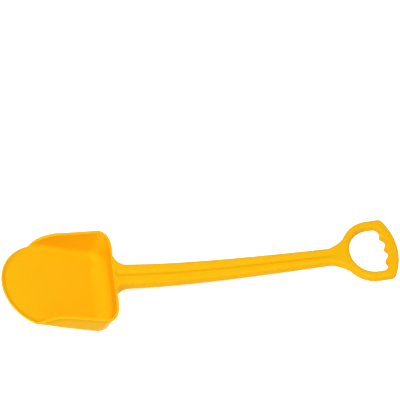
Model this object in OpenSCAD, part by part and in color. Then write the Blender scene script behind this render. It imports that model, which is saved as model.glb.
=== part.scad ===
// Toy sand shovel: a deep scoop with an upturned tongue, a grooved shaft and a D-grip.
// It lies on its heel and on the lower edges of the grip, with the tongue raised.
// X runs from the tongue to the grip, Z is up, and the origin is under the middle of the shovel.

/* [Scoop] */
// Length of the floor, from the back wall to the tip of the tongue
floor_len = 154.5; // [140:0.5:175]
// Width of the floor between the side walls
floor_w = 122; // [110:0.5:140]
// Distance from the back wall to the foot of the side walls
wall_start = 111.5; // [100:0.5:120]
// Radius of the two rear corners at the floor
corner_r = 26; // [26:0.5:34]
// Tilt of the floor when the shovel lies down
floor_tilt = 28; // [22:0.2:32]
// Thickness of the scoop
scoop_t = 2.6; // [2:0.1:4]
// Radius of the tongue's upturned edge
lip_r = 10; // [6:0.5:13]
// Radius between the floor and the side walls
side_fillet = 8; // [5:0.5:10]
// Radius between the floor and the back wall
back_fillet = 18.5; // [10:0.5:18.5]
// Extra radius, over the edge's own, of the outline where the tongue meets a side
kink_land = 4; // [2:0.5:8]
// Height of the upturned edge of the tongue
lip_h = 3; // [2:0.5:5]

/* [Walls and rim] */
// Height of the side walls where they meet the rim line
front_h = 29.8; // [20:0.1:40]
// Height of the back wall
back_h = 50; // [40:0.5:60]
// Length of the slanting front edge of a side wall
front_run = 20; // [14:0.5:30]
// Outward lean of the side walls at the rear corners
side_lean = 7.5; // [2:0.5:12]
// Lean of the back wall, out over the heel where positive and in over the floor where negative
back_lean = -16; // [-16:0.5:0]
// Extra lean in the rear corners, inwards where negative
corner_tuck = -6.5; // [-7:0.5:2]
// Width of the rim
rim_w = 4.4; // [4:0.1:6]
// Thickness of the rim
rim_t = 2.8; // [2:0.1:4]

/* [Neck and shaft] */
// Length of the shaft with its neck, from the back wall to the yoke
shaft_len = 291.5; // [220:0.5:360]
// Width of the shaft at the neck
shaft_root_w = 31.4; // [26:0.2:38]
// Width of the shaft at the yoke
shaft_tip_w = 22.2; // [18:0.2:26]
// Depth of the shaft's sides at the neck
shaft_root_h = 15.5; // [9:0.5:18]
// Depth of the shaft's sides at the yoke
shaft_tip_h = 12; // [8:0.5:12]
// Thickness of the shaft
shaft_t = 2.4; // [2:0.1:3]
// Radius of the shaft's top edges
shaft_edge_r = 4.5; // [3.5:0.1:5]
// Width of the groove along the top
groove_w = 9; // [6:0.5:10]
// Depth of the groove
groove_h = 2.4; // [1:0.1:3]
// Length over which the groove deepens behind the rim
groove_run = 4; // [3:0.5:20]
// Radius of the neck where it spreads onto the back wall
neck_r = 16; // [10:0.5:24]
// Length over which the shaft bends away from the rim's slope
bend_len = 100; // [60:2:140]
// Thickness of a cross rib
rib_t = 2; // [1.5:0.1:3]
// Distance from one cross rib to the next
rib_pitch = 32; // [24:1:50]
// Setback of the ribs from the lower edge of the sides
rib_inset = 1; // [0.5:0.1:2]

/* [Grip] */
// Thickness of the grip
grip_h = 11.5; // [11.5:0.5:16]
// Length of the yoke, from the shaft to the hand opening
yoke_len = 30.5; // [28:0.5:45]
// Length of the hand opening on its middle line
eye_len = 52.4; // [48:0.2:65]
// Width of the hand opening
eye_w = 70; // [64:0.5:84]
// Length of the round part of the hand opening
eye_round = 31.5; // [24:0.5:36]
// Width of the arms beside the opening
arm_w = 11; // [10:0.2:14]
// Thickness of the hand bar between its finger bumps
bar_t = 13.6; // [12:0.2:18]
// Bow of the bar's outer edge, over the whole width of the grip
bar_bow = 12.6; // [6:0.2:16]
// Bow of the bar's inner edge, over the width of the opening
bar_inner_bow = 8.6; // [4:0.2:12]
// Number of finger bumps
bump_count = 3; // [1:1:3]
// Distance from one finger bump to the next
bump_pitch = 19; // [17:0.2:20]
// Height of a finger bump
bump_h = 4.2; // [2:0.1:6]
// Half the length of a finger bump
bump_half = 7.5; // [5:0.5:8]
// Size of the grip's two outer corners
grip_corner = 5.5; // [4:0.5:10]
// Flat beside the outermost finger bumps
bump_land = 3; // [1:0.5:5]
// Radius of the grip's top edges
grip_edge_r = 4; // [2:0.1:4.5]
// Thickness of the grip's top and sides
grip_t = 2.6; // [2:0.1:3]
// Number of ribs across each arm
arm_ribs = 3; // [1:1:4]
// Number of ribs across the bar
bar_ribs = 4; // [2:1:6]

/* [Hidden] */
yellow = "#fdb714";

// Steps along the half outline of the scoop, and across its section
tongue_steps = 13;
kink_steps = 3;
side_steps = 14;
corner_steps = 9;
back_steps = 4;
section_steps = 9;
// Crowding of the section's points towards the floor
section_crowd = 1.3;
// Crowding of the side's places towards its slanting front edge
side_crowd = 1.4;
// Blend between the slanting front edge and the rim line, and between it and the lip
front_blend = 12;
lip_blend = 4;
// Length over which the rim's overhang dies out beside the neck
rim_fade = 9;
// Share of the slanting front edge over which the rim grows to its full size
rim_grow = 0.6;
// Share of its full size at which the rim begins
rim_least = 0.3;
// Share of the rim's thickness that its rounded edges take
rim_round = 0.35;
// Least rounding of an edge, and the drop of a rounded edge half way round
least_edge = 0.1;
half_round = 1 - sqrt(0.5);
// Outward draft of the shaft's sides
shaft_draft = 0.6;
// Angle round the hand opening at which the yoke ends, and how far its sides hold their direction,
// as a share of its length
yoke_angle = 145;
yoke_hold = 0.69;
// Share of the yoke's length over which its lower edge comes down to the ground
foot_run = 0.33;
// Share of the yoke's width that the groove takes
groove_share = 0.4;
// Shares of the yoke's half width where its top ends, and where its edge is half way round
yoke_shoulder = 0.65;
yoke_brow = 0.93;
// Steps along the neck, the shaft, the yoke, an arm, a corner and the bar
neck_steps = 8;
shaft_steps = 20;
yoke_steps = 9;
arm_steps = 8;
turn_steps = 6;
bar_steps = 56;

half_w = floor_w / 2;
root_angle = floor_tilt - atan((back_h - front_h) / (wall_start - front_run));

// Number helpers
function mix(a, b, t) = a + (b - a) * t;
function clamp(t) = max(0, min(1, t));
function smooth(t) = let (c = clamp(t)) c * c * (3 - 2 * c);
function soft_min(a, b, k) = let (h = max(k - abs(a - b), 0) / k) min(a, b) - h * h * k / 4;
function soft_max(a, b, k) = -soft_min(-a, -b, k);
function mirrored(stations) = [for (s = stations) [for (p = s) [p[0], -p[1], p[2]]]];
function backwards(list) = [for (i = [len(list) - 1:-1:0]) list[i]];
function bezier(a, b, c, t) = mix(mix(a, b, t), mix(b, c, t), t);

// Outline of the scoop on the floor: [u, v, angle of the outward normal], from the tip round one side.
// u runs from the back wall towards the tip, v across, and w is the height over the floor.
tongue_run = floor_len - wall_start;
tongue_r = (tongue_run * tongue_run + half_w * half_w) / (2 * tongue_run);
tongue_u = floor_len - tongue_r;
kink_r = lip_r + kink_land;
kink_v = half_w - kink_r;
kink_u = tongue_u + sqrt(pow(tongue_r - kink_r, 2) - kink_v * kink_v);
tongue_angle = atan2(kink_v, kink_u - tongue_u);
outline = [
    for (i = [0:tongue_steps - 1])
        let (a = tongue_angle * i / tongue_steps)
        [tongue_u + tongue_r * cos(a), tongue_r * sin(a), a],
    for (i = [0:kink_steps - 1])
        let (a = mix(tongue_angle, 90, i / kink_steps))
        [kink_u + kink_r * cos(a), kink_v + kink_r * sin(a), a],
    for (i = [0:side_steps])
        [mix(kink_u, corner_r, pow(i / side_steps, side_crowd)), half_w, 90],
    for (i = [1:corner_steps])
        let (a = 90 + 90 * i / corner_steps)
        [corner_r + corner_r * cos(a), half_w - corner_r + corner_r * sin(a), a],
    for (i = [1:back_steps])
        [0, (half_w - corner_r) * (1 - i / back_steps), 180]
];
kink = tongue_steps;
corner = kink + kink_steps + side_steps;
back = len(outline) - 1;

// How far round the rear corner a place on the outline is, from the side (0) to the back (1)
function turn(s) = clamp((abs(s[2]) - 90) / 90);
function wall_fillet(s) = mix(lip_r, side_fillet, smooth((kink_u - s[0]) / (2 * front_run)));
function fillet(s) = abs(s[2]) < 90 ? lip_r : mix(wall_fillet(s), back_fillet, smooth(turn(s)));
function side_share(s) = clamp((wall_start - front_run - s[0]) / (wall_start - front_run - corner_r));
function tuck_share(s) = pow(sin(180 * turn(s)), 2);
function lean(s) = abs(s[2]) < 90 ? 0
    : mix(side_lean * side_share(s), back_lean, smooth(turn(s))) + corner_tuck * tuck_share(s);

// Height of the scoop's edge: the lip round the tongue, a slanting front edge, then the rim line
function rim_line(u) = front_h + (wall_start - front_run - u) * (back_h - front_h) / (wall_start - front_run);
function slant(u) = lip_h + (wall_start - u) * (front_h - lip_h) / front_run;
function edge_h(s) = soft_max(lip_h, soft_min(slant(s[0]), rim_line(s[0]), front_blend), lip_blend);
function rim_share(s) = smooth((edge_h(s) - lip_h) / (front_h - lip_h) / rim_grow);
function wall_h(s) = edge_h(s) - rim_t * rim_share(s);

// Section of the scoop at a place: a fillet that runs into a leaning wall, by its length from the floor.
// Each point is [distance from the outline, height, slope].
function fillet_run(s) = fillet(s) * tan((90 - lean(s)) / 2);
function fillet_top(s) = fillet(s) * (1 - sin(lean(s)));
function arc_angle(s) = wall_h(s) < fillet_top(s) ? acos(1 - wall_h(s) / fillet(s)) : 90 - lean(s);
function arc_len(s) = fillet(s) * arc_angle(s) * PI / 180;
function straight_len(s) = max(0, (wall_h(s) - fillet_top(s)) / cos(lean(s)));
function section_point(s, run) =
    let (arc = min(run, arc_len(s)), a = arc / fillet(s) * 180 / PI, rest = run - arc)
    [-fillet_run(s) + fillet(s) * sin(a) + rest * cos(a), fillet(s) * (1 - cos(a)) + rest * sin(a), a];
function section(s) = [
    for (j = [0:section_steps])
        section_point(s, (arc_len(s) + straight_len(s)) * pow(j / section_steps, section_crowd))
];
function top_of(s) = section_point(s, arc_len(s) + straight_len(s));

// From a section to the shovel's own axes, with the heel on the ground
function tilted(s, d, w) =
    let (u = s[0] + d * cos(s[2]), v = s[1] + d * sin(s[2]))
    [w * sin(floor_tilt) - u * cos(floor_tilt), v, u * sin(floor_tilt) + w * cos(floor_tilt)];
function outside(p) = [p[0] + scoop_t * sin(p[2]), p[1] - scoop_t * cos(p[2])];
heel_z = -min([
    for (i = [corner:back]) for (p = section(outline[i]))
        tilted(outline[i], outside(p)[0], outside(p)[1])[2]
]);
function place(s, d, w) = tilted(s, d, w) + [0, 0, heel_z];
function inner_skin(s) = [for (p = section(s)) place(s, p[0], p[1])];
function outer_skin(s) = [for (p = section(s)) place(s, outside(p)[0], outside(p)[1])];

// Rim: a bead on top of the wall, that hangs over outwards except behind the neck
neck_half = shaft_root_w / 2 + neck_r;
function clear_of_neck(s) = abs(s[2]) <= 90 ? 1 : clamp((abs(s[1]) - neck_half) / rim_fade);
function rim_point(s, out, up) =
    let (p = top_of(s), a = p[2])
    place(s, p[0] + out * sin(a) + up * cos(a), p[1] - out * cos(a) + up * sin(a));
function rim_out(s) = scoop_t + (rim_w - scoop_t) * rim_share(s) * clear_of_neck(s);
function rim_top(s) =
    let (h = rim_t * rim_share(s), c = rim_round * h, b = rim_out(s),
         e = max(c * clear_of_neck(s), least_edge))
    [rim_point(s, 0, h - c), rim_point(s, c, h), rim_point(s, b - e, h), rim_point(s, b, h - e)];
function rim_base(s) =
    let (b = rim_out(s))
    [rim_point(s, 0, 0), rim_point(s, b / 3, 0), rim_point(s, b * 2 / 3, 0), rim_point(s, b, 0)];

// Where the shovel begins and ends, and where its pieces meet along X
tip_edge = outside(top_of(outline[0]));
tip_x = place(outline[0], tip_edge[0], tip_edge[1])[0];
root = rim_point(outline[back], scoop_t, rim_t);
neck_x = root[0] + neck_r;
yoke_x = root[0] + shaft_len;
eye_x = yoke_x + yoke_len;
bar_x = eye_x + eye_len;
end_x = bar_x + bar_t;
middle_x = (tip_x + end_x) / 2;

// Height of the shaft's top: it leaves along the rim's slope and bends to a straight run down to the grip
yoke_back = eye_x - arm_w;
shaft_run = yoke_back - root[0];
bend_left = exp(-shaft_run / bend_len);
bend_run = bend_len * (1 - bend_left);
shaft_slope = (root[2] - grip_h - bend_run * tan(root_angle)) / (shaft_run - bend_run);
bend_h = bend_len * (tan(root_angle) - shaft_slope);
function shaft_line(x) =
    grip_h + shaft_slope * (yoke_back - x) + bend_h * (exp((root[0] - x) / bend_len) - bend_left);
function shaft_top(x) = x < yoke_back ? shaft_line(x) : grip_h;

// Section of the shaft: [y, drop below the top], from one lower edge over the top to the other
function shaft_share(x) = clamp((x - root[0]) / shaft_len);
function shaft_half(x) = mix(shaft_root_w, shaft_tip_w, shaft_share(x)) / 2;
function shaft_h(x) = mix(shaft_root_h, shaft_tip_h, shaft_share(x));
function groove_at(x) =
    groove_h * smooth((x - root[0]) / groove_run) * smooth((yoke_back - x) / yoke_len);
function half_profile(half, h, g, t) = [
    [half + shaft_draft - t, h],
    for (a = [0, 30, 60, 90])
        [half - shaft_edge_r + (shaft_edge_r - t) * cos(a), shaft_edge_r - (shaft_edge_r - t) * sin(a)],
    [groove_w / 2, t],
    [groove_w / 4, t + g / 2]
];
function profile(half, h, g, t) =
    let (side = half_profile(half, h, g, t))
    concat([for (p = side) [-p[0], p[1]]], [[0, t + g]], backwards(side));
function shaft_ring(x, t) = [
    for (p = profile(shaft_half(x), shaft_h(x), groove_at(x), t)) [x, p[0], shaft_top(x) - p[1]]
];

// The neck is the same section, spread onto the leaning back wall along a round
back_slope = tan(floor_tilt + back_lean);
function neck_ring(k, t) =
    let (a = 90 * k / neck_steps, x = root[0] + neck_r * (1 - cos(a)), spread = neck_r * (1 - sin(a)))
    [
        for (p = profile(shaft_half(x) + spread, shaft_h(x), groove_at(x), t))
            [x - p[1] * back_slope * cos(a), p[0], shaft_top(x) - p[1]]
    ];

// A cross rib fills the shaft's section down to just above its lower edge
function rib_roof(x) = let (r = shaft_ring(x, shaft_t)) [for (j = [1:len(r) - 2]) r[j]];
function rib_foot(x) =
    let (foot = shaft_h(x) - rib_inset, roof = rib_roof(x),
         grow = shaft_draft * (foot - shaft_edge_r) / (shaft_h(x) - shaft_edge_r) / roof[len(roof) - 1][1])
    [for (p = roof) [x, p[1] * (1 + grow), shaft_top(x) - foot]];
rib_count = floor((yoke_x - neck_x - rib_t) / rib_pitch);

// Grip in plan: pairs of points on the edge of the hand opening and on the outside
eye_half = eye_w / 2;
round_x = eye_x + eye_round;
function eye_normal(a) = let (n = [cos(a) / eye_round, sin(a) / eye_half]) n / norm(n);
function eye_edge(a) = [round_x + eye_round * cos(a), eye_half * sin(a)];
function arm_pair(a) = [eye_edge(a), eye_edge(a) + arm_w * eye_normal(a)];
function bump(y) = abs(y) < bump_half ? bump_h * pow(cos(90 * y / bump_half), 2) : 0;
function bump_y(i) = (i - (bump_count - 1) / 2) * bump_pitch;
function bumps(y, i = 0) = i == bump_count ? 0 : bump(y - bump_y(i)) + bumps(y, i + 1);
function bar_inside(y) = bar_x - bar_inner_bow * pow(y / eye_half, 2) - bumps(y);
grip_half = eye_half + arm_w;
function bar_outside(y) = end_x - bar_bow * pow(y / grip_half, 2);
bar_inner_y = bump_y(bump_count - 1) + bump_half + bump_land;
bar_outer_y = grip_half - grip_corner;
function bar_pair(t) = [
    [bar_inside(bar_inner_y * t), bar_inner_y * t], [bar_outside(bar_outer_y * t), bar_outer_y * t]
];
arm_end_in = bar_inside(eye_half) - (eye_half - bar_inner_y);
arm_end_out = bar_outside(grip_half) - grip_corner;
function turn_pair(t) = [
    bezier([arm_end_in, eye_half], [bar_inside(eye_half), eye_half], bar_pair(1)[0], t),
    bezier([arm_end_out, grip_half], [bar_outside(grip_half), grip_half], bar_pair(1)[1], t)
];
yoke_half = [groove_share / 2, groove_share, yoke_shoulder, yoke_brow, 1];
yoke_fractions = concat(-backwards(yoke_half), [0], yoke_half);
function yoke_arc(f) = 180 - (180 - yoke_angle) * f;
arm_pairs = [
    for (f = yoke_fractions) if (f >= 0) arm_pair(yoke_arc(f)),
    for (i = [1:arm_steps]) arm_pair(mix(yoke_angle, 90, i / arm_steps)),
    for (i = [0:turn_steps]) turn_pair(i / turn_steps)
];
bar_pairs = [for (i = [0:bar_steps]) bar_pair(1 - 2 * i / bar_steps)];

// Channel section of the grip across a pair, set in by t, its outer edge rounded by the share given
function across(pair, t, z) =
    let (p = mix(pair[0], pair[1], t / norm(pair[1] - pair[0]))) [p[0], p[1], z];
function grip_section(pair, share, t) =
    let (w = norm(pair[1] - pair[0]), h = grip_h - t, r = max(grip_edge_r - t, least_edge),
         e = max(grip_edge_r * share - t, least_edge), c = half_round)
    [
        across(pair, t, 0), across(pair, t, h - r), across(pair, t + r * c, h - r * c),
        across(pair, t + r, h), across(pair, w - t - e, h), across(pair, w - t - e * c, h - e * c),
        across(pair, w - t, h - e), across(pair, w - t, 0)
    ];
function arm_sections(t) = [for (k = [0:len(arm_pairs) - 1]) grip_section(arm_pairs[k], free_edge(k), t)];
function bar_sections(t) = [for (p = bar_pairs) grip_section(p, 1, t)];
// Inside the yoke the arm's outer edge is square, because the yoke stands flush against it
free_from = len([for (f = yoke_fractions) if (f >= 0) f]) - 1;
function free_edge(k) = clamp((k - free_from) / 2);

// The yoke spreads from the shaft's section to the outside of the two arms
// Its sides leave along the shaft and run into the arms
yoke_end = arm_pair(yoke_angle)[1];
yoke_start = [yoke_x, shaft_half(yoke_x)];
yoke_pull = yoke_hold * yoke_len;
start_pull = [yoke_pull, 0];
end_pull = yoke_pull * [eye_normal(yoke_angle)[1], -eye_normal(yoke_angle)[0]];
function yoke_side(t) =
    mix(yoke_start, yoke_end, smooth(t)) + t * (1 - t) * ((1 - t) * start_pull - t * end_pull);
function yoke_foot(t) = (shaft_top(yoke_x) - shaft_tip_h) * (1 - smooth(t / foot_run));
function yoke_point(t, f) =
    let (side = yoke_side(t), far = arm_pair(yoke_arc(f))[1], middle = mix(yoke_x, yoke_back, t),
         bulge = (far[0] - yoke_back) / (yoke_end[0] - yoke_back))
    [mix(middle, side[0], bulge), mix(f, far[1] / yoke_end[1], t) * side[1]];
function yoke_inset(f, share) =
    abs(f) <= yoke_shoulder ? f
    : sign(f) * mix(yoke_shoulder, share, (abs(f) - yoke_shoulder) / (1 - yoke_shoulder));
function edge_drop(f, r) = abs(f) == 1 ? r : abs(f) == yoke_brow ? r * half_round : 0;
function groove_drop(f, x) = groove_at(x) * max(0, 1 - abs(f) / groove_share);
function yoke_section(t, thick) =
    let (share = 1 - thick / yoke_side(t)[1], edge = max(grip_edge_r - thick, least_edge),
         top = [
             for (f = yoke_fractions)
                 let (p = yoke_point(t, yoke_inset(f, share)),
                      drop = thick + edge_drop(f, edge) + groove_drop(f, p[0]))
                 [p[0], p[1], shaft_top(p[0]) - drop]
         ],
         first = top[0], last = top[len(top) - 1])
    concat([[first[0], first[1], yoke_foot(t)]], top, [[last[0], last[1], yoke_foot(t)]]);

// Ribs under the grip: across the arms and the bar, and one along the middle of the yoke
rib_turn = rib_t / eye_half * 180 / PI;
function arm_rib_angle(i) = mix(yoke_angle, 90, (i + 0.5) / arm_ribs);
function bar_rib_place(i) = (2 * i + 1) / bar_ribs - 1;
function rib_head(pair) = let (s = grip_section(pair, 1, grip_t)) [for (j = [1:len(s) - 2]) s[j]];
function rib_sole(pair) = [for (p = rib_head(pair)) [p[0], p[1], rib_inset]];
function yoke_rib(x, z) = [[x, -rib_t / 2, z], [x, rib_t / 2, z]];

// Closed solid between two nets of points, each a list of stations
module skin(roof, base) {
    count = len(roof);
    size = len(roof[0]);
    half = count * size;
    points = [for (net = [roof, base]) for (s = net) for (p = s) p - [middle_x, 0, 0]];
    function quad(a, b, c, d) = [[a, b, c], [a, c, d]];
    quads = [
        for (k = [0:count - 2]) for (j = [0:size - 2])
            let (a = k * size + j, b = a + size)
            each [quad(a, a + 1, b + 1, b), quad(half + a, half + b, half + b + 1, half + a + 1)],
        for (k = [0:count - 2])
            let (a = k * size, b = a + size, e = size - 1)
            each [quad(a, b, half + b, half + a), quad(a + e, half + a + e, half + b + e, b + e)],
        for (j = [0:size - 2])
            let (a = j, b = (count - 1) * size + j)
            each [quad(a, half + a, half + a + 1, a + 1), quad(b, b + 1, half + b + 1, half + b)]
    ];
    polyhedron(points, [for (q = quads) each q]);
}

module scoop_floor() {
    side = [for (s = outline) [s[0] - fillet_run(s) * cos(s[2]), s[1] - fillet_run(s) * sin(s[2])]];
    other = [for (i = [back - 1:-1:1]) [side[i][0], -side[i][1]]];
    color(yellow)
        translate([-middle_x, 0, heel_z]) rotate([0, floor_tilt, 0]) translate([0, 0, -scoop_t])
            linear_extrude(scoop_t) polygon([for (p = concat(side, other)) [-p[0], p[1]]]);
}

// Part of the scoop's edge, on one side or the other
function side_part(from, to) = [for (i = [from:to]) outline[i]];
function flipped(stations) = [for (s = backwards(stations)) [s[0], -s[1], -s[2]]];
module scoop_part(stations) {
    color(yellow)
        skin([for (s = stations) inner_skin(s)], [for (s = stations) outer_skin(s)]);
}

module tongue_lip() {
    scoop_part(concat(flipped(side_part(1, kink)), side_part(0, kink)));
}

module right_wall() {
    scoop_part(side_part(kink, corner));
}

module left_wall() {
    scoop_part(flipped(side_part(kink, corner)));
}

module back_wall() {
    scoop_part(concat(side_part(corner, back), flipped(side_part(corner, back - 1))));
}

module rim() {
    from = kink + len([for (i = [kink:corner]) if (rim_share(outline[i]) < rim_least) i]);
    stations = concat(side_part(from, back), flipped(side_part(from, back - 1)));
    color(yellow)
        skin([for (s = stations) rim_top(s)], [for (s = stations) rim_base(s)]);
}

module neck() {
    color(yellow)
        skin([for (k = [0:neck_steps]) neck_ring(k, 0)], [for (k = [0:neck_steps]) neck_ring(k, shaft_t)]);
}

module shaft_shell() {
    places = [for (i = [0:shaft_steps]) mix(neck_x, yoke_x, i / shaft_steps)];
    color(yellow)
        skin([for (x = places) shaft_ring(x, 0)], [for (x = places) shaft_ring(x, shaft_t)]);
}

module shaft_ribs() {
    color(yellow)
        for (i = [0:rib_count])
            let (x = neck_x + i * rib_pitch)
            skin([rib_roof(x), rib_roof(x + rib_t)], [rib_foot(x), rib_foot(x + rib_t)]);
}

module grip_yoke() {
    steps = [for (i = [0:yoke_steps]) i / yoke_steps];
    color(yellow)
        skin([for (t = steps) yoke_section(t, 0)], [for (t = steps) yoke_section(t, grip_t)]);
}

module right_arm() {
    color(yellow)
        skin(arm_sections(0), arm_sections(grip_t));
}

module left_arm() {
    color(yellow)
        skin(backwards(mirrored(arm_sections(0))), backwards(mirrored(arm_sections(grip_t))));
}

module grip_bar() {
    color(yellow)
        skin(bar_sections(0), bar_sections(grip_t));
}

module grip_rib(from, to) {
    skin([rib_head(from), rib_head(to)], [rib_sole(from), rib_sole(to)]);
}

module grip_ribs() {
    places = [for (i = [0:yoke_steps]) mix(yoke_x, yoke_back, i / yoke_steps)];
    color(yellow) {
        for (i = [0:arm_ribs - 1], side = [0, 1])
            mirror([0, side, 0])
                grip_rib(arm_pair(arm_rib_angle(i)), arm_pair(arm_rib_angle(i) - rib_turn));
        for (i = [0:bar_ribs - 1])
            grip_rib(bar_pair(bar_rib_place(i) + rib_t / bar_inner_y), bar_pair(bar_rib_place(i)));
        skin([for (x = places) yoke_rib(x, shaft_top(x) - grip_t - groove_at(x))],
             [for (i = [0:yoke_steps]) yoke_rib(places[i], rib_inset + yoke_foot(i / yoke_steps))]);
    }
}

scoop_floor();
tongue_lip();
left_wall();
right_wall();
back_wall();
rim();
neck();
shaft_shell();
shaft_ribs();
grip_yoke();
left_arm();
right_arm();
grip_bar();
grip_ribs();
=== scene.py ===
# Toy sand shovel of glossy yellow plastic, lying on its heel and on its grip.
# Lengths are metres. X runs from the tongue to the grip, Z is up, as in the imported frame.
from collections import namedtuple
from math import acos, atan2, cos, exp, floor, pi, radians, sin, sqrt, tan

import bmesh
import bpy
from mathutils import Matrix, Vector


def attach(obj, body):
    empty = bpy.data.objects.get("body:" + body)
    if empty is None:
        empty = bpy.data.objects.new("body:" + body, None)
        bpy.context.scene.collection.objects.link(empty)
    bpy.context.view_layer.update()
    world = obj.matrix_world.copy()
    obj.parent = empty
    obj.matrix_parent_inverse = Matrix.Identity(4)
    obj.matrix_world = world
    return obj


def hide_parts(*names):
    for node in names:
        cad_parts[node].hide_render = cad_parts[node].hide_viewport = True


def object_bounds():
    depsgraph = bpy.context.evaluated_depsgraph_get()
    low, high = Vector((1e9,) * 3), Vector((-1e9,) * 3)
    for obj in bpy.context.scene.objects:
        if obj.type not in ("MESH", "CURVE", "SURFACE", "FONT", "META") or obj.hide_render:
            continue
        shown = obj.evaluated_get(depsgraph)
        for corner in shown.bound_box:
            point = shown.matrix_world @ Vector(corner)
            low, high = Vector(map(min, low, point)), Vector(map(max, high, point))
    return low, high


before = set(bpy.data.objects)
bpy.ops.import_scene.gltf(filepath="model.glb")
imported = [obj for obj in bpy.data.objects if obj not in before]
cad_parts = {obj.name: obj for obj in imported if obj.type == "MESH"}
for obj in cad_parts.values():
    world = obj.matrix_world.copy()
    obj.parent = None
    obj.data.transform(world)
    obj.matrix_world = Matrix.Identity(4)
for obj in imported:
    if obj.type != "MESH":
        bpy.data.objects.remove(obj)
cad_low, cad_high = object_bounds()

# Scoop
FLOOR_LEN = 0.1545
FLOOR_HALF = 0.061
WALL_START = 0.1115
CORNER_R = 0.026
FLOOR_TILT = radians(28)
SCOOP_T = 0.0026
LIP_R = 0.010
SIDE_FILLET = 0.008
BACK_FILLET = 0.0185
KINK_R = 0.014
LIP_H = 0.003
FRONT_H = 0.0298
BACK_H = 0.050
FRONT_RUN = 0.020
FRONT_BLEND = 0.012
LIP_BLEND = 0.004
SIDE_LEAN = radians(7.5)
BACK_LEAN = radians(-16)
CORNER_TUCK = radians(-6.5)
RIM_W = 0.0044
RIM_T = 0.0028
RIM_GROW = 0.6
RIM_FADE = 0.022
SHEET_EDGE_R = 0.00115
RIM_UNDER_R = 0.0005
LEAST_OVERHANG = 0.00004
FLUSH_EDGE_R = 0.0002

# Neck and shaft
SHAFT_LEN = 0.2915
SHAFT_ROOT_HALF = 0.0157
SHAFT_TIP_HALF = 0.0111
SHAFT_ROOT_H = 0.0155
SHAFT_TIP_H = 0.012
SHAFT_T = 0.0024
SHAFT_EDGE_R = 0.0045
SHAFT_DRAFT = 0.0006
GROOVE_HALF = 0.0045
GROOVE_H = 0.0024
GROOVE_RUN = 0.004
GROOVE_END_HALF = 0.010
NECK_R = 0.016
NECK_SINK = 0.0005
NECK_TIP_EDGE_R = 0.001
NECK_TIP_T = 0.0008
BEND_LEN = 0.100
FOOT_R = 0.0006
# The neck's sink and the yoke's foot change over the first third of their run
FOOT_RATE = 3

# Ribs under the shaft and the grip
RIB_T = 0.002
RIB_PITCH = 0.032
RIB_INSET = 0.001
RIB_SINK = 0.0004
RIB_DRAFT = 0.0002
ARM_RIBS = 3
BAR_RIBS = 4

# Grip
GRIP_H = 0.0115
GRIP_T = 0.0026
GRIP_EDGE_R = 0.004
YOKE_LEN = 0.0305
YOKE_ARC = radians(35)
YOKE_PULL = 0.021045
EYE_LEN = 0.0524
EYE_HALF = 0.035
EYE_ROUND = 0.0315
ARM_W = 0.011
BAR_T = 0.0136
BAR_BOW = 0.0126
BAR_INNER_BOW = 0.0086
BUMP_PLACES = (-0.019, 0, 0.019)
BUMP_H = 0.0042
BUMP_HALF = 0.0075
BUMP_LAND = 0.003
GRIP_CORNER = 0.0055

# Steps of the meshes
TONGUE_STEPS = 40
KINK_STEPS = 10
SIDE_STEPS = 46
SCOOP_CORNER_STEPS = 30
BACK_STEPS = 18
SECTION_STEPS = 28
SECTION_CROWD = 1.35
ARC_STEPS = 6
NECK_STEPS = 18
SHAFT_STEPS = 70
YOKE_STEPS = 24
TOP_STEPS = 28
ARM_STEPS = 16
STRAIGHT_STEPS = 5
TURN_STEPS = 14
BAR_STEPS = 120
FLOOR_RINGS = (1, 0.985, 0.75, 0.5, 0.25, 0)
GRIP_TOP_SHARES = (0, 0.33, 0.67, 1)
WELD_GAP = 2e-6
LEAST_EDGE = 1e-6
SHELL_SHARP = radians(50)
RIB_SHARP = radians(30)

# Camera and paper
CAMERA_AZIMUTH = radians(-6.9148)
CAMERA_ELEVATION = radians(55.996)
CAMERA_ROLL = radians(-2.293)
CAMERA_TARGET = Vector((0.013241, 0.126641, 0))
CAMERA_DISTANCE = 1.712103
SENSOR_MM = 36
LENS_MM = 108
PAPER_RADIUS = 12
PAPER_SIDES = 64
PAPER_SINK = 0.0002

Station = namedtuple("Station", "u v angle")


def mix(a, b, t):
    return a + (b - a) * t


def clamp(t):
    return max(0.0, min(1.0, t))


def smooth(t):
    c = clamp(t)
    return c * c * (3 - 2 * c)


def soft_min(a, b, blend):
    h = max(blend - abs(a - b), 0) / blend
    return min(a, b) - h * h * blend / 4


def soft_max(a, b, blend):
    return -soft_min(-a, -b, blend)


def steps(count):
    return [i / count for i in range(count + 1)]


def arc(centre, radius, start, end):
    # Points on a round, from one angle in degrees to another
    angles = [radians(mix(start, end, t)) for t in steps(ARC_STEPS)]
    return [(centre[0] + radius * cos(a), centre[1] + radius * sin(a)) for a in angles]


# Outline of the scoop on its floor: u from the back wall to the tip, v across
TONGUE_RUN = FLOOR_LEN - WALL_START
TONGUE_R = (TONGUE_RUN**2 + FLOOR_HALF**2) / (2 * TONGUE_RUN)
TONGUE_U = FLOOR_LEN - TONGUE_R
KINK_V = FLOOR_HALF - KINK_R
KINK_U = TONGUE_U + sqrt((TONGUE_R - KINK_R) ** 2 - KINK_V**2)
TONGUE_ANGLE = atan2(KINK_V, KINK_U - TONGUE_U)


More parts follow.
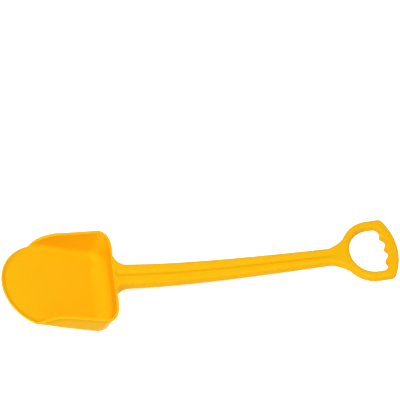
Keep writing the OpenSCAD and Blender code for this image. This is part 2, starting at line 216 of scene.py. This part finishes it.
def scoop_outline():
    # Stations round the scoop with the angle of the outward normal, from the tip
    half = []
    for t in steps(TONGUE_STEPS)[:-1]:
        a = TONGUE_ANGLE * t
        half.append(Station(TONGUE_U + TONGUE_R * cos(a), TONGUE_R * sin(a), a))
    for t in steps(KINK_STEPS)[:-1]:
        a = mix(TONGUE_ANGLE, pi / 2, t)
        half.append(Station(KINK_U + KINK_R * cos(a), KINK_V + KINK_R * sin(a), a))
    for t in steps(SIDE_STEPS)[:-1]:
        half.append(Station(mix(KINK_U, CORNER_R, t), FLOOR_HALF, pi / 2))
    for t in steps(SCOOP_CORNER_STEPS)[:-1]:
        a = mix(pi / 2, pi, t)
        half.append(Station(CORNER_R * (1 + cos(a)), FLOOR_HALF - CORNER_R * (1 - sin(a)), a))
    for t in steps(BACK_STEPS):
        half.append(Station(0, (FLOOR_HALF - CORNER_R) * (1 - t), pi))
    other = [Station(s.u, -s.v, -s.angle) for s in half[-2:0:-1]]
    return half + other


def corner_turn(s):
    return clamp((abs(s.angle) - pi / 2) / (pi / 2))


def fillet(s):
    if abs(s.angle) < pi / 2:
        return LIP_R
    wall = mix(LIP_R, SIDE_FILLET, smooth((KINK_U - s.u) / (2 * FRONT_RUN)))
    return mix(wall, BACK_FILLET, smooth(corner_turn(s)))


def wall_lean(s):
    if abs(s.angle) < pi / 2:
        return 0
    turn = corner_turn(s)
    side_share = clamp((WALL_START - FRONT_RUN - s.u) / (WALL_START - FRONT_RUN - CORNER_R))
    tuck = CORNER_TUCK * sin(pi * turn) ** 2
    return mix(SIDE_LEAN * side_share, BACK_LEAN, smooth(turn)) + tuck


def edge_height(s):
    # The lip round the tongue, a slanting front edge, then the rim line
    rise = (BACK_H - FRONT_H) / (WALL_START - FRONT_RUN)
    rim_line = FRONT_H + (WALL_START - FRONT_RUN - s.u) * rise
    slant = LIP_H + (WALL_START - s.u) * (FRONT_H - LIP_H) / FRONT_RUN
    return soft_max(LIP_H, soft_min(slant, rim_line, FRONT_BLEND), LIP_BLEND)


def rim_share(s):
    return smooth((edge_height(s) - LIP_H) / (FRONT_H - LIP_H) / RIM_GROW)


def clear_of_neck(s):
    if abs(s.angle) <= pi / 2:
        return 1
    return smooth((abs(s.v) - SHAFT_ROOT_HALF - NECK_R) / RIM_FADE)


def wall_run(s):
    # Angle of the fillet and length of the straight wall above it
    r = fillet(s)
    lean = wall_lean(s)
    height = edge_height(s) - RIM_T * rim_share(s)
    fillet_top = r * (1 - sin(lean))
    if height < fillet_top:
        return acos(1 - height / r), 0
    return pi / 2 - lean, (height - fillet_top) / cos(lean)


def wall_point(s, run, depth):
    # Point at a length from the floor, set outwards by a depth: distance out, height, slope
    r = fillet(s)
    arc_end = r * wall_run(s)[0]
    a = min(run, arc_end) / r
    rest = max(0, run - arc_end)
    start = -r * tan((pi / 2 - wall_lean(s)) / 2)
    out = start + (r + depth) * sin(a) + rest * cos(a)
    height = r - (r + depth) * cos(a) + rest * sin(a)
    return out, height, a


def scoop_path(s):
    # From the floor up the inside, over the rim and down the outside, as distance out and height.
    # An overhang too small to mesh is left out.
    angle, straight = wall_run(s)
    rim_h = RIM_T * rim_share(s)
    cap_h = max(rim_h, SHEET_EDGE_R)
    length = fillet(s) * angle + straight - (cap_h - rim_h)
    clear = clear_of_neck(s)
    overhang = (RIM_W - SCOOP_T) * rim_share(s) * clear
    if overhang < LEAST_OVERHANG:
        overhang = 0
    width = SCOOP_T + overhang
    outer_r = mix(FLUSH_EDGE_R, SHEET_EDGE_R, clear)
    under_r = min(RIM_UNDER_R, overhang / 2)
    cap = arc((SHEET_EDGE_R, cap_h - SHEET_EDGE_R), SHEET_EDGE_R, 180, 90)
    cap += arc((width - outer_r, cap_h - outer_r), outer_r, 90, 0)
    cap += arc((width - under_r, under_r), under_r, 0, -90)
    cap += arc((SCOOP_T + under_r, -under_r), under_r, 90, 180)
    shares = [t**SECTION_CROWD for t in steps(SECTION_STEPS)]
    inside = [wall_point(s, length * t, 0)[:2] for t in shares]
    outside = [wall_point(s, (length - under_r) * t, SCOOP_T)[:2] for t in shares]
    out, height, a = wall_point(s, length, 0)
    over = [(out + o * sin(a) + up * cos(a), height - o * cos(a) + up * sin(a)) for o, up in cap]
    return inside + over + outside[::-1]


def tilted(s, out, height):
    u = s.u + out * cos(s.angle)
    v = s.v + out * sin(s.angle)
    x = height * sin(FLOOR_TILT) - u * cos(FLOOR_TILT)
    return Vector((x, v, u * sin(FLOOR_TILT) + height * cos(FLOOR_TILT)))


scoop_rows = [[tilted(s, *p) for p in scoop_path(s)] for s in scoop_outline()]
HEEL_Z = -min(p.z for row in scoop_rows for p in row)


# Where the pieces meet along X: the root of the neck, the yoke, the hand opening and the end
BACK_MIDDLE = Station(0, 0, pi)


def root_point():
    angle, straight = wall_run(BACK_MIDDLE)
    out, height, a = wall_point(BACK_MIDDLE, fillet(BACK_MIDDLE) * angle + straight, SCOOP_T)
    return tilted(BACK_MIDDLE, out + RIM_T * cos(a), height + RIM_T * sin(a))


ROOT_X = root_point().x
ROOT_Z = root_point().z + HEEL_Z
ROOT_SLOPE = tan(FLOOR_TILT - atan2(BACK_H - FRONT_H, WALL_START - FRONT_RUN))
BACK_SLOPE = tan(FLOOR_TILT + BACK_LEAN)
YOKE_X = ROOT_X + SHAFT_LEN
EYE_X = YOKE_X + YOKE_LEN
YOKE_BACK = EYE_X - ARM_W
ROUND_X = EYE_X + EYE_ROUND
BAR_X = EYE_X + EYE_LEN
END_X = BAR_X + BAR_T
GRIP_HALF = EYE_HALF + ARM_W
MIDDLE_X = END_X - cad_high.x


def shaft_top(x):
    # The top leaves along the rim's slope and bends to a straight run down to the grip
    if x >= YOKE_BACK:
        return GRIP_H
    full = YOKE_BACK - ROOT_X
    bend_left = exp(-full / BEND_LEN)
    bend_run = BEND_LEN * (1 - bend_left)
    slope = (ROOT_Z - GRIP_H - bend_run * ROOT_SLOPE) / (full - bend_run)
    bend = BEND_LEN * (ROOT_SLOPE - slope) * (exp((ROOT_X - x) / BEND_LEN) - bend_left)
    return GRIP_H + slope * (YOKE_BACK - x) + bend


def shaft_share(x):
    return clamp((x - ROOT_X) / SHAFT_LEN)


def groove_drop(x, y):
    # A shallow valley along the top, that widens and dies out on the yoke
    depth = GROOVE_H * smooth((x - ROOT_X) / GROOVE_RUN) * smooth((YOKE_BACK - x) / YOKE_LEN)
    half = mix(GROOVE_HALF, GROOVE_END_HALF, smooth((x - YOKE_X) / (YOKE_BACK - YOKE_X)))
    return depth * clamp(1 - abs(y) / half)


def edge_path(radius, thick, depth, draft):
    # Edge of a channel, from its top round the side and the foot to its roof: inset and drop
    outer = arc((radius, radius), radius, -90, -180)
    foot = arc((FOOT_R - draft, depth - FOOT_R), FOOT_R, 180, 90)
    heel = arc((thick - FOOT_R - draft, depth - FOOT_R), FOOT_R, 90, 0)
    inner = arc((radius, radius), radius - thick, 180, 270)
    return outer + foot + heel + inner


def edge_points(point, inward, path, lean=0):
    # A channel's edge at a place of its plan, with the lean of the back wall beside the neck
    points = []
    for inset, drop in path:
        x = point[0] + inward[0] * inset
        y = point[1] + inward[1] * inset
        points.append(Vector((x - drop * BACK_SLOPE * lean, y, shaft_top(x) - drop)))
    return points


def mirrored(points):
    return [Vector((p.x, -p.y, p.z)) for p in points]


def top_row(x, half, drop):
    # Points across the top of the shaft between its rounded edges
    ys = [mix(-half, half, t) for t in steps(TOP_STEPS)]
    return [Vector((x, y, shaft_top(x) - drop - groove_drop(x, y))) for y in ys]


def channel_loop(right, top, roof):
    # Closed section of a channel from its right edge and its top and roof rows
    left = mirrored(right)
    return top[:-1] + right + roof[-2:0:-1] + left[:0:-1]


def neck_loop(t):
    # The shaft's section, spread onto the leaning back wall along a round
    a = pi / 2 * t
    x = ROOT_X + NECK_R * (1 - cos(a)) - NECK_SINK * (1 - smooth(FOOT_RATE * t))
    y = mix(SHAFT_ROOT_HALF, SHAFT_TIP_HALF, shaft_share(x)) + NECK_R * (1 - sin(a))
    radius = mix(NECK_TIP_EDGE_R, SHAFT_EDGE_R, smooth(t))
    thick = mix(NECK_TIP_T, SHAFT_T, smooth(t))
    depth = mix(SHAFT_ROOT_H, SHAFT_TIP_H, shaft_share(x))
    path = edge_path(radius, thick, depth, SHAFT_DRAFT)
    right = edge_points((x, y), (-cos(a), -sin(a)), path, cos(a))
    shoulder = right[0]
    top = top_row(shoulder.x, shoulder.y, 0)
    roof = [p - Vector((thick * BACK_SLOPE * cos(a), 0, thick)) for p in top]
    return channel_loop(right, top, roof)


def shaft_loop(x):
    half = mix(SHAFT_ROOT_HALF, SHAFT_TIP_HALF, shaft_share(x))
    depth = mix(SHAFT_ROOT_H, SHAFT_TIP_H, shaft_share(x))
    right = edge_points((x, half), (0, -1), edge_path(SHAFT_EDGE_R, SHAFT_T, depth, SHAFT_DRAFT))
    top = top_row(x, half - SHAFT_EDGE_R, 0)
    roof = top_row(x, half - SHAFT_EDGE_R, SHAFT_T)
    return channel_loop(right, top, roof)


# Plan of the grip: pairs of points on the edge of the hand opening and on the outside
def arm_pair(a):
    edge = Vector((ROUND_X + EYE_ROUND * cos(a), EYE_HALF * sin(a)))
    normal = Vector((cos(a) / EYE_ROUND, sin(a) / EYE_HALF)).normalized()
    return edge, edge + ARM_W * normal


def bar_inside(y):
    bumps = 0
    for place in BUMP_PLACES:
        if abs(y - place) < BUMP_HALF:
            bumps += BUMP_H * cos(pi / 2 * (y - place) / BUMP_HALF) ** 2
    return BAR_X - BAR_INNER_BOW * (y / EYE_HALF) ** 2 - bumps


def bar_outside(y):
    return END_X - BAR_BOW * (y / GRIP_HALF) ** 2


BAR_INNER_Y = BUMP_PLACES[-1] + BUMP_HALF + BUMP_LAND
BAR_OUTER_Y = GRIP_HALF - GRIP_CORNER


def bar_pair(t):
    y_in = BAR_INNER_Y * t
    y_out = BAR_OUTER_Y * t
    return Vector((bar_inside(y_in), y_in)), Vector((bar_outside(y_out), y_out))


def bezier(a, b, c, t):
    return a.lerp(b, t).lerp(b.lerp(c, t), t)


def turn_pair(t):
    inner_corner = Vector((bar_inside(EYE_HALF), EYE_HALF))
    outer_corner = Vector((bar_outside(GRIP_HALF), GRIP_HALF))
    inner_start = inner_corner - Vector((EYE_HALF - BAR_INNER_Y, 0))
    outer_start = outer_corner - Vector((GRIP_CORNER, 0))
    inner_end, outer_end = bar_pair(1)
    inner = bezier(inner_start, inner_corner, inner_end, t)
    outer = bezier(outer_start, outer_corner, outer_end, t)
    return inner, outer


def straight_pair(t):
    arm, turn = arm_pair(pi / 2), turn_pair(0)
    return arm[0].lerp(turn[0], t), arm[1].lerp(turn[1], t)


def free_pairs():
    # Round the grip from the yoke's end on one side to its end on the other
    side = [arm_pair(mix(pi - YOKE_ARC, pi / 2, t)) for t in steps(ARM_STEPS)]
    side += [straight_pair(t) for t in steps(STRAIGHT_STEPS)[1:]]
    side += [turn_pair(t) for t in steps(TURN_STEPS)[1:]]
    bar = [bar_pair(1 - 2 * t) for t in steps(BAR_STEPS)[1:-1]]
    other = [[Vector((p.x, -p.y)) for p in pair] for pair in side[::-1]]
    return side + bar + other


def grip_rows(pair):
    # Inner edge, outer edge, top and roof of the grip's channel across a pair
    inner, outer = pair
    inward = (outer - inner).normalized()
    path = edge_path(GRIP_EDGE_R, GRIP_T, GRIP_H, 0)
    inner_edge = edge_points(inner, inward, path)
    outer_edge = edge_points(outer, -inward, path)
    top = [inner_edge[0].lerp(outer_edge[0], t) for t in GRIP_TOP_SHARES]
    roof = [inner_edge[-1].lerp(outer_edge[-1], t) for t in GRIP_TOP_SHARES]
    return inner_edge, outer_edge, top, roof


def ring_loop(pair):
    inner_edge, outer_edge, top, roof = grip_rows(pair)
    return top[:-1] + outer_edge + roof[-2:0:-1] + inner_edge[:0:-1]


def seam_row(pair):
    # Between the hand opening and the yoke the grip has no outer edge
    inner_edge, _, top, roof = grip_rows(pair)
    return top[:0:-1] + inner_edge + roof[1:]


def yoke_side(t):
    # The yoke's side leaves along the shaft and runs into the outside of the arm: place, inward
    inner, outer = arm_pair(pi - YOKE_ARC)
    normal = (outer - inner).normalized()
    start, start_pull = Vector((YOKE_X, SHAFT_TIP_HALF)), Vector((YOKE_PULL, 0))
    end_pull = Vector((normal.y, -normal.x)) * YOKE_PULL
    place = start * (1 - 3 * t**2 + 2 * t**3) + outer * (3 * t**2 - 2 * t**3)
    place += start_pull * (t - 2 * t**2 + t**3) + end_pull * (t**3 - t**2)
    run = (outer - start) * (6 * t - 6 * t**2)
    run += start_pull * (1 - 4 * t + 3 * t**2) + end_pull * (3 * t**2 - 2 * t)
    run.normalize()
    return place, Vector((run.y, -run.x))


def yoke_edge(t):
    place, inward = yoke_side(t)
    depth = mix(SHAFT_TIP_H, shaft_top(place.x), smooth(FOOT_RATE * t))
    radius = mix(SHAFT_EDGE_R, GRIP_EDGE_R, t)
    thick = mix(SHAFT_T, GRIP_T, t)
    return edge_points(place, inward, edge_path(radius, thick, depth, mix(SHAFT_DRAFT, 0, t)))


def yoke_top(t):
    # A patch between the end of the shaft, the yoke's sides and the edge of the grip's ring
    side = yoke_edge(t)[0]
    near, far = yoke_edge(0)[0], yoke_edge(1)[0]
    thick = mix(SHAFT_T, GRIP_T, t)
    top, roof = [], []
    for share in steps(TOP_STEPS):
        f = 2 * share - 1
        inner, outer = arm_pair(pi - YOKE_ARC * f)
        seam = outer + (inner - outer).normalized() * GRIP_EDGE_R
        x = mix(near.x, seam.x, t) + side.x - mix(near.x, far.x, t)
        y = mix(f * near.y, seam.y, t) + f * (side.y - mix(near.y, far.y, t))
        z = shaft_top(x) - groove_drop(x, y)
        top.append(Vector((x, y, z)))
        roof.append(Vector((x, y, z - thick)))
    return top, roof


class PieceMesh:
    # Gathers the nets of one piece, then welds them into one closed mesh
    def __init__(self):
        self.bm = bmesh.new()

    def net(self, rows, round_rows=False, closed_rows=False):
        # Faces between rows of points, joined end to end where the rows or the net are closed
        verts = [[self.bm.verts.new(p) for p in row] for row in rows]
        count, size = len(verts), len(verts[0])
        for k in range(count if round_rows else count - 1):
            here, there = verts[k], verts[(k + 1) % count]
            for j in range(size if closed_rows else size - 1):
                n = (j + 1) % size
                self.bm.faces.new((here[j], here[n], there[n], there[j]))
        return verts

    def finish(self, name, replaced, sharp=SHELL_SHARP):
        bmesh.ops.translate(self.bm, verts=self.bm.verts, vec=(-MIDDLE_X, 0, 0))
        bmesh.ops.remove_doubles(self.bm, verts=self.bm.verts, dist=WELD_GAP)
        bmesh.ops.dissolve_degenerate(self.bm, edges=self.bm.edges, dist=LEAST_EDGE)
        bmesh.ops.recalc_face_normals(self.bm, faces=self.bm.faces)
        mesh = bpy.data.meshes.new(name)
        self.bm.to_mesh(mesh)
        self.bm.free()
        mesh.shade_smooth()
        mesh.set_sharp_from_angle(angle=sharp)
        piece = bpy.data.objects.new(name, mesh)
        bpy.context.scene.collection.objects.link(piece)
        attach(piece, "root")
        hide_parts(*replaced)
        return piece


def make_scoop():
    # Floor, lip, walls and rim as one shell
    shell = PieceMesh()
    lift = Vector((0, 0, HEEL_Z))
    rows = [[p + lift for p in row] for row in scoop_rows]
    shell.net(rows, round_rows=True)
    for end in (0, -1):
        edge = [row[end] for row in rows]
        middle = sum(edge, Vector()) / len(edge)
        rings = [[middle.lerp(p, share) for p in edge] for share in FLOOR_RINGS]
        shell.net(rings, closed_rows=True)
    nodes = ("scoop_floor", "tongue_lip", "left_wall", "right_wall", "back_wall", "rim")
    return shell.finish("scoop", nodes)


def make_handle():
    # Neck, shaft, yoke and grip as one channel, open below
    shell = PieceMesh()
    neck = [neck_loop(t) for t in steps(NECK_STEPS)]
    neck_x = ROOT_X + NECK_R
    shaft = [shaft_loop(mix(neck_x, YOKE_X, t)) for t in steps(SHAFT_STEPS)]
    loops = shell.net(neck[:-1] + shaft, closed_rows=True)
    shell.bm.faces.new(loops[0])
    yoke_places = steps(YOKE_STEPS)
    shell.net([yoke_edge(t) for t in yoke_places])
    shell.net([mirrored(yoke_edge(t)) for t in yoke_places])
    shell.net([yoke_top(t)[0] for t in yoke_places])
    shell.net([yoke_top(t)[1] for t in yoke_places])
    shell.net([ring_loop(pair) for pair in free_pairs()], closed_rows=True)
    shell.net([seam_row(arm_pair(pi + YOKE_ARC * (1 - 2 * t))) for t in steps(TOP_STEPS)])
    nodes = ("neck", "shaft_shell", "grip_yoke", "left_arm", "right_arm", "grip_bar")
    return shell.finish("handle", nodes)


def add_rib(ribs, outlines):
    # Closed rib through a row of like outlines
    verts = ribs.net(outlines, closed_rows=True)
    ribs.bm.faces.new(verts[0])
    ribs.bm.faces.new(verts[-1])


def shaft_rib_outline(x, foot_shift):
    half = mix(SHAFT_ROOT_HALF, SHAFT_TIP_HALF, shaft_share(x)) - SHAFT_T + RIB_SINK
    depth = mix(SHAFT_ROOT_H, SHAFT_TIP_H, shaft_share(x)) - RIB_INSET
    roof_half = half - SHAFT_EDGE_R + SHAFT_T
    top = shaft_top(x)
    roof_ys = (-roof_half, -GROOVE_HALF, 0, GROOVE_HALF, roof_half)
    roof = [Vector((x, y, top - SHAFT_T + RIB_SINK - groove_drop(x, y))) for y in roof_ys]
    ends = [Vector((x, y, top - SHAFT_EDGE_R)) for y in (half, -half)]
    feet = [Vector((x + foot_shift, y, top - depth)) for y in (half, -half)]
    return roof + [ends[0], feet[0], feet[1], ends[1]]


def make_shaft_ribs():
    # Cross ribs under the shaft, a little thinner at the foot
    ribs = PieceMesh()
    neck_x = ROOT_X + NECK_R
    for i in range(floor((YOKE_X - neck_x - RIB_T) / RIB_PITCH) + 1):
        x = neck_x + i * RIB_PITCH
        add_rib(ribs, [shaft_rib_outline(x, RIB_DRAFT), shaft_rib_outline(x + RIB_T, -RIB_DRAFT)])
    return ribs.finish("shaft_cross_ribs", ("shaft_ribs",), RIB_SHARP)


def grip_rib_outline(pair, shift):
    # Outline of a rib across a pair, moved along the grip by a shift in plan
    inner, outer = pair
    inward = (outer - inner).normalized()
    start = inner + inward * (GRIP_T - RIB_SINK) + shift
    end = outer - inward * (GRIP_T - RIB_SINK) + shift
    roof = GRIP_H - GRIP_T + RIB_SINK
    brow = GRIP_H - GRIP_EDGE_R
    step = inward * (GRIP_EDGE_R - GRIP_T)
    plan = [(start, RIB_INSET), (start, brow), (start + step, roof)]
    plan += [(end - step, roof), (end, brow), (end, RIB_INSET)]
    return [Vector((p.x, p.y, z)) for p, z in plan]


def make_grip_ribs():
    # Ribs across the arms and the bar, the arch round the hand opening and the spine of the yoke
    ribs = PieceMesh()
    pairs = []
    for i in range(ARM_RIBS):
        a = mix(pi - YOKE_ARC, pi / 2, (i + 0.5) / ARM_RIBS)
        pairs += [arm_pair(a), arm_pair(-a)]
    pairs += [bar_pair((2 * i + 1) / BAR_RIBS - 1) for i in range(BAR_RIBS)]
    for pair in pairs:
        across = (pair[1] - pair[0]).normalized()
        along = Vector((-across.y, across.x)) * RIB_T / 2
        add_rib(ribs, [grip_rib_outline(pair, along), grip_rib_outline(pair, -along)])
    arch = []
    for share in steps(TOP_STEPS):
        inner, outer = arm_pair(pi + YOKE_ARC * (1 - 2 * share))
        inward = (inner - outer).normalized() * GRIP_T
        roof = GRIP_H - GRIP_T + RIB_SINK
        face = outer + inward
        corners = [(outer, RIB_INSET), (outer, roof), (face, roof), (face, RIB_INSET)]
        arch.append([Vector((p.x, p.y, z)) for p, z in corners])
    add_rib(ribs, arch)
    spine = []
    for t in steps(YOKE_STEPS):
        x = mix(YOKE_X, YOKE_BACK + RIB_SINK, t)
        roof = shaft_top(x) - groove_drop(x, 0) - SHAFT_T + RIB_SINK
        half = RIB_T / 2
        corners = [(-half, RIB_INSET), (-half, roof), (half, roof), (half, RIB_INSET)]
        spine.append([Vector((x, y, z)) for y, z in corners])
    add_rib(ribs, spine)
    return ribs.finish("grip_cross_ribs", ("grip_ribs",), RIB_SHARP)


def linear(hex_colour):
    # sRGB hex to the linear colour that the shader takes
    channels = [int(hex_colour[i : i + 2], 16) / 255 for i in (1, 3, 5)]
    return [c / 12.92 if c <= 0.04045 else ((c + 0.055) / 1.055) ** 2.4 for c in channels] + [1]


def add_node(tree, kind, settings, inputs):
    # Adds a node with its settings, and sets or links its inputs
    node = tree.nodes.new(kind)
    for name, value in settings.items():
        setattr(node, name, value)
    for socket, value in inputs.items():
        if isinstance(value, bpy.types.NodeSocket):
            tree.links.new(value, node.inputs[socket])
        else:
            node.inputs[socket].default_value = value
    return node


def new_material(name):
    material = bpy.data.materials.new(name)
    material.use_nodes = True
    material.node_tree.nodes.clear()
    return material


def per_mm(size):
    # Scale of a texture whose features are about this many millimetres
    return 1000 / size


def moulded_polypropylene():
    # Injection-moulded polypropylene with a warm yellow pigment: a smooth skin with faint highlights,
    # light that spreads a little inside the wall, faint clouds where the melt flowed
    # and a slight ripple.
    material = new_material("injection_moulded_polypropylene")
    tree = material.node_tree
    place = add_node(tree, "ShaderNodeTexCoord", {}, {}).outputs["Object"]
    clouds = add_node(
        tree,
        "ShaderNodeTexNoise",
        {},
        {"Vector": place, "Scale": per_mm(35), "Detail": 3},
    )
    colour = add_node(
        tree,
        "ShaderNodeMix",
        {"data_type": "RGBA"},
        {0: clouds.outputs["Fac"], 6: linear("#f8b70f"), 7: linear("#f8bc0f")},
    )
    # Real orange peel is finer than a millimetre: drawn at 12 mm, so that it shows at this size
    peel = add_node(
        tree,
        "ShaderNodeTexNoise",
        {},
        {"Vector": place, "Scale": per_mm(12), "Detail": 1},
    )
    gloss = add_node(
        tree,
        "ShaderNodeMapRange",
        {},
        {"Value": peel.outputs["Fac"], "To Min": 0.1, "To Max": 0.16},
    )
    ripple = add_node(
        tree,
        "ShaderNodeBump",
        {},
        {"Strength": 0.05, "Distance": 0.0002, "Height": peel.outputs["Fac"]},
    )
    shader = add_node(
        tree,
        "ShaderNodeBsdfPrincipled",
        {},
        {
            "Base Color": colour.outputs[2],
            "Roughness": gloss.outputs["Result"],
            "IOR": 1.49,
            "Specular IOR Level": 0.015,
            "Subsurface Weight": 0.15,
            "Subsurface Radius": (0.003, 0.0012, 0.0003),
            "Subsurface Scale": 1,
            "Normal": ripple.outputs["Normal"],
        },
    )
    add_node(tree, "ShaderNodeOutputMaterial", {}, {"Surface": shader.outputs[0]})
    return material


def seen_ray(tree):
    # 1 for the rays that show a surface, to the camera, in a reflection or through a clear piece
    light = add_node(tree, "ShaderNodeLightPath", {}, {})
    mirrored_ray = add_node(
        tree,
        "ShaderNodeMath",
        {"operation": "MAXIMUM"},
        {0: light.outputs["Is Camera Ray"], 1: light.outputs["Is Glossy Ray"]},
    )
    any_ray = add_node(
        tree,
        "ShaderNodeMath",
        {"operation": "MAXIMUM"},
        {0: mirrored_ray.outputs[0], 1: light.outputs["Is Transmission Ray"]},
    )
    return any_ray.outputs[0]


def paper_floor():
    # Matt white paper: the camera and reflections see it near white, and it keeps the shadow
    material = new_material("matt_white_paper")
    tree = material.node_tree
    matt = add_node(tree, "ShaderNodeBsdfDiffuse", {}, {"Color": linear("#f4f4f4")})
    white = add_node(tree, "ShaderNodeEmission", {}, {"Color": (1, 1, 1, 1), "Strength": 0.75})
    both = add_node(tree, "ShaderNodeAddShader", {}, {0: matt.outputs[0], 1: white.outputs[0]})
    shown = add_node(
        tree,
        "ShaderNodeMixShader",
        {},
        {0: seen_ray(tree), 1: matt.outputs[0], 2: both.outputs[0]},
    )
    add_node(tree, "ShaderNodeOutputMaterial", {}, {"Surface": shown.outputs[0]})
    return material


def make_floor():
    bm = bmesh.new()
    bmesh.ops.create_circle(bm, cap_ends=True, segments=PAPER_SIDES, radius=PAPER_RADIUS)
    mesh = bpy.data.meshes.new("floor")
    bm.to_mesh(mesh)
    bm.free()
    floor_piece = bpy.data.objects.new("floor", mesh)
    floor_piece.location.z = -PAPER_SINK
    floor_piece.data.materials.append(paper_floor())
    bpy.context.scene.collection.objects.link(floor_piece)


def make_camera():
    # The photograph's view: from above and in front, a little from the tongue's side
    level = Vector((cos(CAMERA_AZIMUTH), sin(CAMERA_AZIMUTH), 0))
    level_back = Vector((sin(CAMERA_AZIMUTH), -cos(CAMERA_AZIMUTH), 0))
    back = level_back * cos(CAMERA_ELEVATION) + Vector((0, 0, sin(CAMERA_ELEVATION)))
    upright = back.cross(level)
    right = cos(CAMERA_ROLL) * level + sin(CAMERA_ROLL) * upright
    up = cos(CAMERA_ROLL) * upright - sin(CAMERA_ROLL) * level
    data = bpy.data.cameras.new("camera")
    data.sensor_width = SENSOR_MM
    data.lens = LENS_MM
    camera = bpy.data.objects.new("camera", data)
    turn = Matrix((right, up, back)).transposed().to_4x4()
    camera.matrix_world = Matrix.Translation(CAMERA_TARGET + back * CAMERA_DISTANCE) @ turn
    bpy.context.scene.collection.objects.link(camera)
    bpy.context.scene.camera = camera


def add_softbox(name, place, target, size, watts):
    data = bpy.data.lights.new(name, "AREA")
    data.shape = "DISK"
    data.size = size
    data.energy = watts
    lamp = bpy.data.objects.new(name, data)
    lamp.location = place
    lamp.rotation_euler = (Vector(target) - Vector(place)).to_track_quat("-Z", "Y").to_euler()
    bpy.context.scene.collection.objects.link(lamp)


def light_studio():
    # A key from above and the tongue's side, a weak fill from the front and a dim white surround
    add_softbox("key_softbox", (-0.45, -0.62, 2.05), (0, 0, 0), 0.35, 32)
    add_softbox("front_fill", (-0.2, -1.8, 0.9), (0, 0, 0), 1.2, 3.5)
    world = bpy.data.worlds.new("studio")
    world.use_nodes = True
    tree = world.node_tree
    tree.nodes.clear()
    dim = add_node(tree, "ShaderNodeBackground", {}, {"Color": (1, 1, 1, 1), "Strength": 0.4})
    white = add_node(tree, "ShaderNodeBackground", {}, {"Color": (1, 1, 1, 1), "Strength": 1})
    shown = add_node(
        tree,
        "ShaderNodeMixShader",
        {},
        {0: seen_ray(tree), 1: dim.outputs[0], 2: white.outputs[0]},
    )
    add_node(tree, "ShaderNodeOutputWorld", {}, {"Surface": shown.outputs[0]})
    bpy.context.scene.world = world


yellow = moulded_polypropylene()
for piece in (make_scoop(), make_handle(), make_shaft_ribs(), make_grip_ribs()):
    piece.data.materials.append(yellow)
make_floor()
make_camera()
light_studio()
bpy.context.scene.view_settings.view_transform = "Standard"
